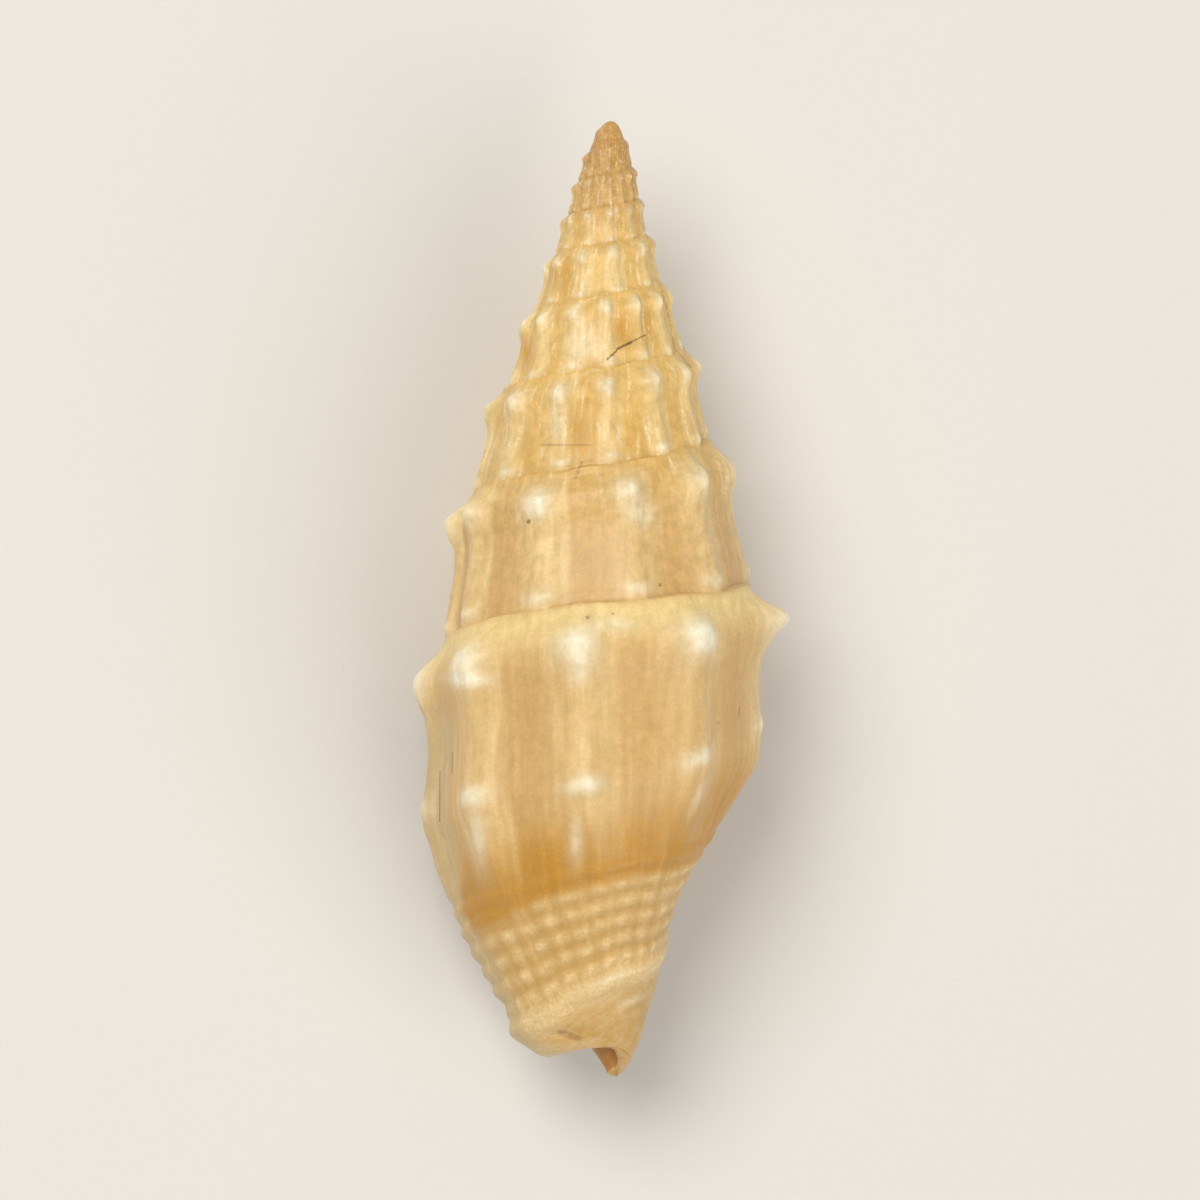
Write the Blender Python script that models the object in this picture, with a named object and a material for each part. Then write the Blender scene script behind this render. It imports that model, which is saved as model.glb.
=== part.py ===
"""Shell of a crowned mitre, a small ribbed sea snail, lying on its mouth side with its back up.

The shell is one closed solid. Its outside is one strip wound around the axis: each row of the
strip runs from one suture to the next, and a row's lower edge is the upper edge of the row one
whorl later. The last whorl's rows go on below that line to the end of the canal. The mouth is
hollowed out by a winding tube that leaves a thin outer lip and a folded columella. A few spots
are worn flat where the shell rests.

Lengths are in millimetres. A place on the shell is given by its turn, counted in whorls back from
the left side of the last whorl (0), and by its depth below the tip. Tables are read with a smooth
curve through their rows.
"""

import math

import bmesh
import bpy
import numpy as np
from mathutils import Euler

MM = 0.001

# Driving dimensions.
SHELL_LENGTH = 25.0
LIP_TURN = 0.04
FIRST_TURN = -7.96
LIP_THICKNESS = 0.35
WALL_THICKNESS = 0.65     # under the ribs, behind the lip
LIP_TAPER = 0.09          # turns over which the lip reaches the wall's thickness
CANAL_DEPTHS = (19.0, 22.0)             # depths between which the lip gets thinner
CANAL_THINNING = 0.4      # share of its thickness that it loses there
CALLUS = 0.08

# The suture: turn, depth below the tip, radius.
SUTURE = (
    (-8.0, 0.13, 0.24), (-7.0, 0.80, 0.50), (-6.0, 1.58, 0.73), (-5.0, 2.45, 0.95),
    (-4.0, 3.48, 1.23), (-3.0, 4.95, 1.70), (-2.0, 7.00, 2.41), (-1.5, 8.26, 2.73),
    (-1.25, 9.00, 2.98), (-1.0, 9.70, 3.22), (-0.5, 12.05, 3.80), (-0.25, 12.55, 3.88),
    (0.0, 13.57, 3.91), (0.25, 15.20, 3.97), (0.5, 17.00, 4.02), (0.75, 17.80, 4.24),
    (1.0, 19.00, 4.42), (1.1, 19.30, 4.44),
)

# The dome of the tip above the first whorl: depth, radius.
DOME = (
    (0.0, 0.0), (0.02, 0.09), (0.08, 0.17), (0.15, 0.23), (0.42, 0.36), (0.63, 0.43),
    (0.84, 0.505), (1.7, 0.76),
)

# How far the ribs of a whorl's side stand out from the straight line between its two sutures:
# share of the whorl's height from the upper suture, standing out as a share of that height.
SIDE_BULGE = (
    (0.0, 0.0), (0.06, 0.042), (0.12, 0.090), (0.2, 0.118), (0.3, 0.106), (0.4, 0.074),
    (0.6, 0.050), (0.77, 0.050), (0.9, 0.040), (1.0, 0.0),
)

# Radius of the last whorl below its side, from the line of the next suture to the lower end in
# ten equal steps of depth, at five turns.
BASE_TURNS = (-1.0, -0.75, -0.5, -0.25, 0.0)
BASE_RADII = (
    (3.97, 3.45, 2.75, 2.09, 1.67, 1.44, 1.31, 1.20, 1.05, 0.80, 0.16),
    (3.97, 3.60, 3.09, 2.54, 2.04, 1.73, 1.54, 1.41, 1.18, 0.80, 0.16),
    (4.02, 3.52, 3.01, 2.52, 2.07, 1.80, 1.58, 1.40, 1.07, 0.72, 0.16),
    (4.24, 4.06, 3.80, 3.50, 3.16, 2.80, 2.43, 2.09, 1.78, 1.52, 1.10),
    (4.42, 4.28, 4.06, 3.80, 3.60, 3.37, 3.09, 2.85, 2.56, 2.46, 1.91),
)

# Depth of the lower end, which is notched at the back: turn, depth.
LOWER_END = (
    (-1.0, 24.90), (-0.5, 24.90), (-0.35, 24.45), (-0.25, 24.20), (-0.15, 24.24), (0.0, 24.45),
    (0.1, 24.40),
)

# Ribs: turn at the shoulder and the rib's number, counted back from the lip.
RIBS = (
    (-8.2, -102.0), (-7.0, -84.0), (-6.0, -68.0), (-5.0, -56.0), (-4.0, -46.0), (-3.40, -38.0),
    (-3.33, -37.0), (-3.26, -36.0), (-3.19, -35.0), (-3.106, -34.0), (-3.0, -32.5),
    (-2.5, -26.0), (-2.42, -25.0), (-2.34, -24.0), (-2.26, -23.0), (-2.19, -22.0),
    (-2.103, -21.0), (-2.0, -20.0), (-1.5, -14.0), (-1.385, -13.0), (-1.286, -12.0),
    (-1.18, -11.0), (-1.075, -10.0), (-1.0, -9.0), (-0.49, -4.0), (-0.35, -3.0),
    (-0.232, -2.0), (-0.115, -1.0), (0.0, 0.0), (0.12, 1.0),
)
FIRST_RIBS = (-7.5, -6.9) # turns over which the ribs set in; the whorls before them are smooth
LAST_WHORL = (-1.0, -0.6) # turns over which the spire's ornament gives way to the last whorl's
RIB_SLANT = 0.01          # turns that a rib falls back over the height of its whorl
RIB_STEEP, RIB_GENTLE = 0.15, 0.30      # widths of a rib's two flanks, in distances between ribs
PEAK_STEEP, PEAK_GENTLE = 0.12, 0.18    # widths of the two flanks of its knobs

# The rest of the ribs' ornament, in shares of the whorl's height.
RIB_DEPTH = 0.055
RIB_START = 0.14
RIB_FADE = (1.05, 1.4)
SHOULDER_AT, SHOULDER_ABOVE, SHOULDER_BELOW = 0.2, 0.09, 0.13
SPIRE_NODULE, LAST_NODULE = 0.056, 0.034
SPIRE_KNOB_AT, LAST_KNOB_AT, KNOB_WIDTH = 0.92, 0.79, 0.07
SPIRE_KNOB, LAST_KNOB = 0.024, 0.016
SPIKE_RIB = -4
SPIKE_AT, SPIKE_ABOVE, SPIKE_BELOW, SPIKE_HEIGHT = 0.165, 0.06, 0.09, 0.095

# Cords around the base, which follow the suture's winding: places as shares of the whorl's height,
# heights in millimetres.
CORD_SPACING = 0.095
CORD_START, CORD_STOP = (1.21, 1.33), (1.81, 1.86)
CORD_TURNS = (-0.98, -0.85)             # turns over which they set in behind the mouth
CORD_HEIGHT = 0.05
BEADS_PER_TURN = 28
BEAD_LOW, BEAD_RISE = 0.55, 0.75        # a cord's height between its beads, and what they add
FASCIOLE_AT, FASCIOLE_WIDTH = 1.9, 0.05
FASCIOLE_HEIGHT = 0.14

# The axis leans sideways at the tip, and bends sideways along the canal.
AXIS_LEAN = 0.31
AXIS_LEAN_FADE = 3.9
CANAL_BEND = 0.46
CANAL_BEND_FROM = 21.0
CANAL_BEND_POWER = 1.6

# Hollow of the mouth: turn, depth where it ends below, which is past the lower end at the canal.
HOLLOW_FOOT = (
    (-0.72, 17.4), (-0.6, 19.0), (-0.5, 20.3), (-0.4, 21.8), (-0.32, 23.2), (-0.24, 26.0),
    (0.1, 26.0),
)
HOLLOW_END = -0.7
HOLLOW_MOUTH = LIP_TURN + 0.03
HOLLOW_TOP = 0.35         # below the suture
HOLLOW_NARROWS = (0.4, 0.7)             # turns inward over which it gets narrower
HOLLOW_NARROWING = 0.6
HOLLOW_LEAST = 0.03
HOLLOW_ROUNDING, HOLLOW_SQUARENESS = 0.95, 10    # how its section closes at both ends
# Radius of the columella as a share of the suture's, in ten equal steps down to its foot.
COLUMELLA = (1.0, 0.88, 0.70, 0.535, 0.43, 0.37, 0.334, 0.30, 0.25, 0.18, 0.03)
COLUMELLA_FOOT = ((-0.7, 20.2), (-0.35, 24.9), (0.1, 24.9))
CALLUS_END = 0.85         # share of the columella's height where the callus starts to thin out
FOLDS = ((16.6, 0.30), (17.9, 0.26), (19.1, 0.22), (20.2, 0.16))
FOLD_WIDTH = 0.28
FOLD_CLIMB = 5.0          # per turn inward

# Steps of the mesh: rows per turn, shares of the whorl's height down its side, and shares along
# the base with one on each cord's crest and groove.
ROWS_PER_TURN = 56
SIDE_STEPS = (0.0, 0.08, 0.19, 0.31, 0.52, 0.80, 1.0)
HALF_CORDS = range(26, 40)
BASE_STEPS = (1.09, 1.18) + tuple(CORD_SPACING * half / 2 for half in HALF_CORDS) + (FASCIOLE_AT,)
END_STEPS = 5
END_RING = 0.6            # radius of the level rim of the lower end's back, as a share of its outside
END_LEVEL = (0.06, 0.27, 0.36)          # turns behind the lip where that rim starts, ends and is gone
DOME_STEPS = (0.6, 0.3, 0.1)           # rings of the tip, as shares of the first whorl's depth
HOLLOW_ROWS, HOLLOW_STEPS = 26, 10

# How it rests: turned about its long axis, then tipped along it, with its lowest spots worn flat.
ROLL = math.radians(-7.5)
TIP_DOWN = math.radians(2.0)
WORN = 0.1

CREAM = (0.76, 0.52, 0.24, 1.0)
ROUGHNESS = 0.3


def smooth(x, table, column=1):
    """Read a table with a monotone cubic, held level past its ends."""
    xs = np.array([row[0] for row in table], float)
    ys = np.array([row[column] for row in table], float)
    step = np.diff(xs)
    slope = np.diff(ys) / step
    tangent = np.concatenate([slope[:1], np.zeros(len(slope) - 1), slope[-1:]])
    before, after = slope[:-1], slope[1:]
    level = before * after <= 0
    tangent[1:-1] = np.where(level, 0, 2 * before * after / np.where(level, 1, before + after))
    x = np.clip(x, xs[0], xs[-1])
    i = np.clip(np.searchsorted(xs, x, side="right") - 1, 0, len(step) - 1)
    f = (x - xs[i]) / step[i]
    rise = f * f * (3 - 2 * f)
    start, stop = f * (1 - f) ** 2, f * f * (f - 1)
    return ys[i] * (1 - rise) + ys[i + 1] * rise + step[i] * (start * tangent[i] + stop * tangent[i + 1])


def ease(x, low, high):
    """0 below low, 1 above high, with a smooth rise between them."""
    f = np.clip((x - low) / (high - low), 0, 1)
    return f * f * (3 - 2 * f)


def bump(x, centre, before, after=None):
    """A rounded bump of height 1, which may fall away differently on its two sides."""
    width = np.where(x < centre, before, before if after is None else after)
    return np.exp(-((x - centre) / width) ** 2)


def base_radius(turn, share):
    """Radius of the base at a share of its depth, blended between the five turns of the table."""
    steps = np.linspace(0, 1, len(BASE_RADII[0]))
    radius = 0
    for at, radii in zip(BASE_TURNS, BASE_RADII):
        weight = 1 - ease(np.abs(turn - at), 0, BASE_TURNS[1] - BASE_TURNS[0])
        if at == BASE_TURNS[-1]:
            weight = np.where(turn > at, 1, weight)
        if at == BASE_TURNS[0]:
            weight = np.where(turn < at, 1, weight)
        radius = radius + weight * smooth(share, list(zip(steps, radii)))
    return radius


def plain_radius(turn, depth):
    """Radius of the outside over its ribs' crests, without nodules and cords."""
    top, foot = smooth(turn, SUTURE), smooth(turn + 1, SUTURE)
    height = foot - top
    share = (depth - top) / height
    side = (smooth(turn, SUTURE, 2) * (1 - share) + smooth(turn + 1, SUTURE, 2) * share
            + height * smooth(share, SIDE_BULGE))
    below = np.clip((depth - foot) / (smooth(turn, LOWER_END) - foot), 0, 1)
    return np.where(share <= 1, side, base_radius(turn, below))


def rib_relief(turn, share):
    """Interspaces, nodules and knobs, as a share of the whorl's height."""
    number = smooth(turn + RIB_SLANT * (share - SHOULDER_AT), RIBS)
    nearest = np.round(number)
    ridge = bump(number - nearest, 0.0, RIB_STEEP, RIB_GENTLE)
    peak = bump(number - nearest, 0.0, PEAK_STEEP, PEAK_GENTLE)
    last = ease(turn, *LAST_WHORL)
    height = RIB_DEPTH * (ridge - 1) * ease(share, 0.0, RIB_START) * (1 - ease(share, *RIB_FADE))
    nodule = SPIRE_NODULE + (LAST_NODULE - SPIRE_NODULE) * last
    height += nodule * ridge * bump(share, SHOULDER_AT, SHOULDER_ABOVE, SHOULDER_BELOW)
    knob = SPIRE_KNOB + (LAST_KNOB - SPIRE_KNOB) * last
    knob_at = SPIRE_KNOB_AT + (LAST_KNOB_AT - SPIRE_KNOB_AT) * last
    height += knob * peak * bump(share, knob_at, KNOB_WIDTH)
    spike = SPIKE_HEIGHT * (nearest == SPIKE_RIB)
    height += spike * peak * bump(share, SPIKE_AT, SPIKE_ABOVE, SPIKE_BELOW)
    return height * ease(turn, *FIRST_RIBS)


def cord_relief(turn, share):
    """Beaded cords of the base and the stronger one around the canal, in millimetres."""
    beads = BEAD_LOW + BEAD_RISE * (0.5 + 0.5 * np.cos(2 * math.pi * BEADS_PER_TURN * turn))
    wave = np.cos(2 * math.pi * share / CORD_SPACING) * beads
    cords = CORD_HEIGHT * wave * ease(share, *CORD_START) * (1 - ease(share, *CORD_STOP))
    cords += FASCIOLE_HEIGHT * bump(share, FASCIOLE_AT, FASCIOLE_WIDTH)
    return cords * ease(turn, *CORD_TURNS)


def place(turn, depth, radius):
    """Point of the standing shell, in millimetres: tip at the origin, +Y up, back towards +Z."""
    angle = math.pi * (0.5 + 2 * turn)
    bend = np.clip(depth - CANAL_BEND_FROM, 0, None) / (SHELL_LENGTH - CANAL_BEND_FROM)
    axis = AXIS_LEAN * np.exp(-depth / AXIS_LEAN_FADE) + CANAL_BEND * bend ** CANAL_BEND_POWER
    return np.stack([axis - radius * np.sin(angle), -depth, radius * np.cos(angle)], axis=-1)


def outside_point(turn, depth):
    top = smooth(turn, SUTURE)
    height = smooth(turn + 1, SUTURE) - top
    share = (depth - top) / height
    relief = height * rib_relief(turn, share) + cord_relief(turn, share)
    return place(turn, depth, plain_radius(turn, depth) + relief)


def grid_faces(index, closed=False):
    """Four-sided faces between the rows of a grid of vertex numbers."""
    columns = index.shape[1] if closed else index.shape[1] - 1
    return [(index[row, column], index[row, (column + 1) % index.shape[1]],
             index[row + 1, (column + 1) % index.shape[1]], index[row + 1, column])
            for row in range(len(index) - 1) for column in range(columns)]


def outside():
    """Points and faces of the closed outside, with a flat face across the mouth."""
    row_count = int(round((LIP_TURN - FIRST_TURN) * ROWS_PER_TURN)) + 1
    turns = (LIP_TURN - np.arange(row_count) / ROWS_PER_TURN)[:, None]
    last = turns[:ROWS_PER_TURN + 1]
    top = smooth(turns, SUTURE)
    height = smooth(turns + 1, SUTURE) - top
    side = outside_point(turns, top + height * np.array(SIDE_STEPS))
    base_depth = (top + height * np.array(BASE_STEPS))[:len(last)]
    end_depth = smooth(last, LOWER_END)
    to_end = (end_depth - base_depth[:, -1:]) * np.linspace(0, 1, END_STEPS + 1)[1:]
    base_depth = np.hstack([base_depth, base_depth[:, -1:] + to_end])
    base = outside_point(last, base_depth)

    # The first row of vertices of each whorl is the last row of the one before it.
    side_index = np.arange(row_count * (len(SIDE_STEPS) - 1)).reshape(row_count, -1)
    first_whorl = side_index.size + np.arange(ROWS_PER_TURN)
    upper = np.concatenate([side_index[ROWS_PER_TURN:, -1], first_whorl])
    side_index = np.hstack([upper[:, None], side_index])
    base_index = side_index.max() + 1 + np.arange(base[..., 0].size).reshape(len(last), -1)
    base_index = np.hstack([side_index[:len(last), -1:], base_index])
    points = list(side[:, 1:].reshape(-1, 3)) + list(side[-ROWS_PER_TURN:, 0])
    points += list(base.reshape(-1, 3))
    faces = grid_faces(side_index) + grid_faces(base_index)

    # The face across the mouth, between the lip and the inner lip one whorl earlier.
    lip = list(side_index[0, 1:]) + list(base_index[0, 1:])
    faces.append(tuple(lip[::-1] + list(base_index[-1])))

    # The dome of the tip, on the first whorl's upper edge, and the small step where the strip starts.
    edge = np.concatenate([first_whorl[::-1], side_index[-1:, -1]])
    edge_turns = np.concatenate([turns[:-ROWS_PER_TURN - 1:-1, 0], turns[-ROWS_PER_TURN - 1]])
    edge_points = np.array([points[i] for i in edge])
    depths = -edge_points[:, 1]
    fit = np.linalg.norm(edge_points - place(edge_turns, depths, 0.0), axis=1) / smooth(depths, DOME)
    dome_index = [edge]
    for step in DOME_STEPS:
        dome_index.append(np.arange(len(edge)) + len(points))
        points += list(place(edge_turns, depths * step, smooth(depths * step, DOME) * fit))
    tip = len(points)
    points.append(place(FIRST_TURN, np.float64(0), 0.0))
    dome_index = np.array(dome_index)
    faces += grid_faces(dome_index[::-1])
    faces += [(tip, dome_index[-1, i + 1], dome_index[-1, i]) for i in range(len(edge) - 1)]
    faces.append(tuple(list(dome_index[1:, -1]) + [tip] + list(dome_index[:0:-1, 0])
                       + list(side_index[-1])))

    # The lower end: a rim that is level at the back, then closed to a point at the columella's foot.
    rim_start, rim_end, rim_gone = END_LEVEL
    behind = LIP_TURN - last
    level = ease(behind, 0.0, rim_start) * (1 - ease(behind, rim_end, rim_gone))
    rim_depth = end_depth + (SHELL_LENGTH - end_depth) * (1 - END_RING) * (1 - level)
    rim = np.arange(len(last)) + len(points)
    points += list(place(last, rim_depth, END_RING * plain_radius(last, end_depth))[:, 0])
    faces += grid_faces(np.stack([rim, base_index[:, -1]]), closed=True)
    faces += [(len(points), rim[i], rim[i - 1]) for i in range(len(rim))]
    points.append(place(0.0, np.float64(SHELL_LENGTH), 0.0))
    return points, faces


def columella_radius(turn, depth):
    """Radius of the mouth's inner wall, with its folds."""
    top = smooth(turn, SUTURE)
    share = np.clip((depth - top) / (smooth(turn, COLUMELLA_FOOT) - top), 0, 1)
    table = list(zip(np.linspace(0, 1, len(COLUMELLA)), COLUMELLA))
    folds = sum(height * bump(depth - FOLD_CLIMB * turn, at, FOLD_WIDTH) for at, height in FOLDS)
    wall = smooth(turn, SUTURE, 2) * smooth(share, table)
    return wall + folds + CALLUS * (1 - ease(share, CALLUS_END, 1))


def hollow():
    """Points and faces of the winding tube that hollows the mouth."""
    turn = np.linspace(HOLLOW_MOUTH, HOLLOW_END, HOLLOW_ROWS)[:, None]
    share = 0.5 - 0.5 * np.cos(np.linspace(0, math.pi, HOLLOW_STEPS))
    top = smooth(turn, SUTURE) + HOLLOW_TOP
    depth = top + (smooth(turn, HOLLOW_FOOT) - top) * share
    thickness = LIP_THICKNESS + (WALL_THICKNESS - LIP_THICKNESS) * ease(LIP_TURN - turn, 0.0, LIP_TAPER)
    outer = plain_radius(turn, depth) - thickness * (1 - CANAL_THINNING * ease(depth, *CANAL_DEPTHS))
    inner = columella_radius(turn, depth)
    rounded = 1 - HOLLOW_ROUNDING * (2 * share - 1) ** HOLLOW_SQUARENESS
    width = np.maximum(outer - inner, HOLLOW_LEAST) * rounded
    width = width * (1 - HOLLOW_NARROWING * ease(-turn, *HOLLOW_NARROWS))
    middle = (outer + inner) / 2
    turn = turn + 0 * depth
    loops = np.hstack([place(turn, depth, middle + width / 2),
                       place(turn, depth, middle - width / 2)[:, ::-1]])
    index = np.arange(loops[..., 0].size).reshape(HOLLOW_ROWS, -1)
    faces = grid_faces(index, closed=True) + [tuple(index[0, ::-1]), tuple(index[-1])]
    return list(loops.reshape(-1, 3)), faces


def new_object(name, points, faces, collection):
    """A mesh object of triangles from points in millimetres; a Boolean needs flat faces."""
    mesh = bpy.data.meshes.new(name)
    mesh.from_pydata((np.array(points) * MM).tolist(), [], [[int(i) for i in face] for face in faces])
    form = bmesh.new()
    form.from_mesh(mesh)
    bmesh.ops.triangulate(form, faces=form.faces)
    form.to_mesh(mesh)
    form.free()
    item = bpy.data.objects.new(name, mesh)
    collection.objects.link(item)
    return item


def new_collection(name):
    collection = bpy.data.collections.new(name)
    bpy.context.scene.collection.children.link(collection)
    return collection


def cut_away(item, cutter):
    """Take the cutter's space out of the item."""
    cut = item.modifiers.new(cutter.name, "BOOLEAN")
    cut.object = cutter
    cut.operation = "DIFFERENCE"
    cut.solver = "EXACT"
    cutter.hide_render = True
    cutter.display_type = "WIRE"


def shell_material():
    material = bpy.data.materials.new("shell_cream")
    material.use_nodes = True
    surface = material.node_tree.nodes["Principled BSDF"]
    surface.inputs["Base Color"].default_value = CREAM
    surface.inputs["Roughness"].default_value = ROUGHNESS
    return material


def main():
    for item in list(bpy.data.objects):
        bpy.data.objects.remove(item, do_unlink=True)
    parts = new_collection("crowned_mitre_shell")
    cutters = new_collection("cutters")

    points, faces = outside()
    shell = new_object("shell", points, faces, parts)
    shell.data.materials.append(shell_material())
    tube = new_object("mouth_hollow", *hollow(), cutters)

    # Laid on its mouth side, over the origin, with its lowest spots below the ground by WORN.
    turned = Euler((TIP_DOWN, ROLL, 0.0)).to_matrix()
    laid = np.array(points) @ np.array(turned).T
    low, high = laid.min(axis=0), laid.max(axis=0)
    shell.rotation_euler = turned.to_euler()
    shell.location = (-(low[0] + high[0]) / 2 * MM, -(low[1] + high[1]) / 2 * MM, -(low[2] + WORN) * MM)
    tube.parent = shell
    cut_away(shell, tube)

    # The ground takes the worn spots off.
    bpy.ops.mesh.primitive_cube_add(size=2 * SHELL_LENGTH * MM, location=(0, 0, -SHELL_LENGTH * MM))
    ground = bpy.context.object
    ground.name = "ground"
    for collection in list(ground.users_collection):
        collection.objects.unlink(ground)
    cutters.objects.link(ground)
    cut_away(shell, ground)


main()
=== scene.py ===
"""Looks of the crowned mitre shell: a fine mesh of its relief, its markings, and a plain pale setting.

Lengths are in millimetres until a mesh is made. The standing shell has its tip at the origin,
+Y up and its back towards +Z, and lies down by the same turn as the solid that it stands for.
A place on the shell is given by its turn, counted in whorls back from the left side of the last
whorl (0), and by its share of the whorl's height, from 0 at the upper suture to 1 at the lower.
"""

import math

import bmesh
import bpy
import numpy as np
from mathutils import Euler, Matrix, Vector


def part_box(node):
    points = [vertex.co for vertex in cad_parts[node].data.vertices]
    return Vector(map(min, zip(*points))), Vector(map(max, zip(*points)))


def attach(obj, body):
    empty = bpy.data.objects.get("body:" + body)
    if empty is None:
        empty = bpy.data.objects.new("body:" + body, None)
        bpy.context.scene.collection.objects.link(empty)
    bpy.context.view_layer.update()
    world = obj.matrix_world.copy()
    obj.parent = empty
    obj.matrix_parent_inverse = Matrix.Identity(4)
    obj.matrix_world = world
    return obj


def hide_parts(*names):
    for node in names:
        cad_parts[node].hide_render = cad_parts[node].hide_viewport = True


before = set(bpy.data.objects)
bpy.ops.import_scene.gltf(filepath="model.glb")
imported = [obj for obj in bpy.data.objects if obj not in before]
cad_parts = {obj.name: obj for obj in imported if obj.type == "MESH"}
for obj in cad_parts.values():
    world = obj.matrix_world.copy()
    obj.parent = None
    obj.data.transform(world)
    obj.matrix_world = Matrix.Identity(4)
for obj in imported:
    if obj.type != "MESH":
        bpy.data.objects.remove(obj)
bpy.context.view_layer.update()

MM = 0.001

# The shell's form, as in the solid.
SHELL_LENGTH = 25.0
LIP_TURN = 0.04
FIRST_TURN = -7.96
LIP_THICKNESS = 0.35
WALL_THICKNESS = 0.65
LIP_TAPER = 0.09
CANAL_DEPTHS = (19.0, 22.0)
CANAL_THINNING = 0.4
CALLUS = 0.08
SUTURE = (
    (-8.0, 0.13, 0.24), (-7.0, 0.80, 0.50), (-6.0, 1.58, 0.73), (-5.0, 2.45, 0.95),
    (-4.0, 3.48, 1.23), (-3.0, 4.95, 1.70), (-2.0, 7.00, 2.41), (-1.5, 8.26, 2.73),
    (-1.25, 9.00, 2.98), (-1.0, 9.70, 3.22), (-0.5, 12.05, 3.80), (-0.25, 12.55, 3.88),
    (0.0, 13.57, 3.91), (0.25, 15.20, 3.97), (0.5, 17.00, 4.02), (0.75, 17.80, 4.24),
    (1.0, 19.00, 4.42), (1.1, 19.30, 4.44),
)
DOME = (
    (0.0, 0.0), (0.02, 0.09), (0.08, 0.17), (0.15, 0.23), (0.42, 0.36), (0.63, 0.43),
    (0.84, 0.505), (1.7, 0.76),
)
SIDE_BULGE = (
    (0.0, 0.0), (0.06, 0.042), (0.12, 0.090), (0.2, 0.118), (0.3, 0.106), (0.4, 0.074),
    (0.6, 0.050), (0.77, 0.050), (0.9, 0.040), (1.0, 0.0),
)
BASE_TURNS = (-1.0, -0.75, -0.5, -0.25, 0.0)
BASE_RADII = (
    (3.97, 3.45, 2.75, 2.09, 1.67, 1.44, 1.31, 1.20, 1.05, 0.80, 0.16),
    (3.97, 3.60, 3.09, 2.54, 2.04, 1.73, 1.54, 1.41, 1.18, 0.80, 0.16),
    (4.02, 3.52, 3.01, 2.52, 2.07, 1.80, 1.58, 1.40, 1.07, 0.72, 0.16),
    (4.24, 4.06, 3.80, 3.50, 3.16, 2.80, 2.43, 2.09, 1.78, 1.52, 1.10),
    (4.42, 4.28, 4.06, 3.80, 3.60, 3.37, 3.09, 2.85, 2.56, 2.46, 1.91),
)
LOWER_END = (
    (-1.0, 24.90), (-0.5, 24.90), (-0.35, 24.45), (-0.25, 24.20), (-0.15, 24.24), (0.0, 24.45),
    (0.1, 24.40),
)
RIBS = (
    (-8.2, -102.0), (-7.0, -84.0), (-6.0, -68.0), (-5.0, -56.0), (-4.0, -46.0), (-3.40, -38.0),
    (-3.33, -37.0), (-3.26, -36.0), (-3.19, -35.0), (-3.106, -34.0), (-3.0, -32.5),
    (-2.5, -26.0), (-2.42, -25.0), (-2.34, -24.0), (-2.26, -23.0), (-2.19, -22.0),
    (-2.103, -21.0), (-2.0, -20.0), (-1.5, -14.0), (-1.385, -13.0), (-1.286, -12.0),
    (-1.18, -11.0), (-1.075, -10.0), (-1.0, -9.0), (-0.49, -4.0), (-0.35, -3.0),
    (-0.232, -2.0), (-0.115, -1.0), (0.0, 0.0), (0.12, 1.0),
)
FIRST_RIBS = (-7.5, -6.9)
LAST_WHORL = (-1.0, -0.6)
RIB_SLANT = 0.01
RIB_STEEP, RIB_GENTLE = 0.15, 0.30
PEAK_STEEP, PEAK_GENTLE = 0.12, 0.18
RIB_DEPTH = 0.055
RIB_START = 0.14
RIB_FADE = (1.05, 1.4)
SHOULDER_AT, SHOULDER_ABOVE, SHOULDER_BELOW = 0.2, 0.09, 0.13
SPIRE_NODULE, LAST_NODULE = 0.056, 0.034
KNOB_WIDTH = 0.05
SPIRE_KNOB, LAST_KNOB = 0.024, 0.016
SPIKE_RIB = -4
SPIKE_AT, SPIKE_ABOVE, SPIKE_BELOW, SPIKE_HEIGHT = 0.165, 0.06, 0.09, 0.095
CORD_SPACING = 0.095
CORD_START, CORD_STOP = (1.21, 1.33), (1.81, 1.86)
CORD_TURNS = (-0.98, -0.85)
CORD_HEIGHT = 0.05
BEADS_PER_TURN = 28
BEAD_LOW, BEAD_RISE = 0.55, 0.75
FASCIOLE_AT, FASCIOLE_WIDTH = 1.9, 0.05
FASCIOLE_HEIGHT = 0.14
AXIS_LEAN = 0.31
AXIS_LEAN_FADE = 3.9
CANAL_BEND = 0.46
CANAL_BEND_FROM = 21.0
CANAL_BEND_POWER = 1.6
HOLLOW_FOOT = (
    (-0.72, 17.4), (-0.6, 19.0), (-0.5, 20.3), (-0.4, 21.8), (-0.32, 23.2), (-0.24, 26.0),
    (0.1, 26.0),
)
HOLLOW_END = -0.7
HOLLOW_MOUTH = LIP_TURN + 0.03
HOLLOW_TOP = 0.35
HOLLOW_NARROWS = (0.4, 0.7)
HOLLOW_NARROWING = 0.6
HOLLOW_LEAST = 0.03
HOLLOW_ROUNDING, HOLLOW_SQUARENESS = 0.95, 10
COLUMELLA = (1.0, 0.88, 0.70, 0.535, 0.43, 0.37, 0.334, 0.30, 0.25, 0.18, 0.03)
COLUMELLA_FOOT = ((-0.7, 20.2), (-0.35, 24.9), (0.1, 24.9))
CALLUS_END = 0.85
FOLDS = ((16.6, 0.30), (17.9, 0.26), (19.1, 0.22), (20.2, 0.16))
FOLD_WIDTH = 0.28
FOLD_CLIMB = 5.0
END_LEVEL = (0.06, 0.27, 0.36)
ROLL = math.radians(-7.5)
TIP_DOWN = math.radians(2.0)

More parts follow.
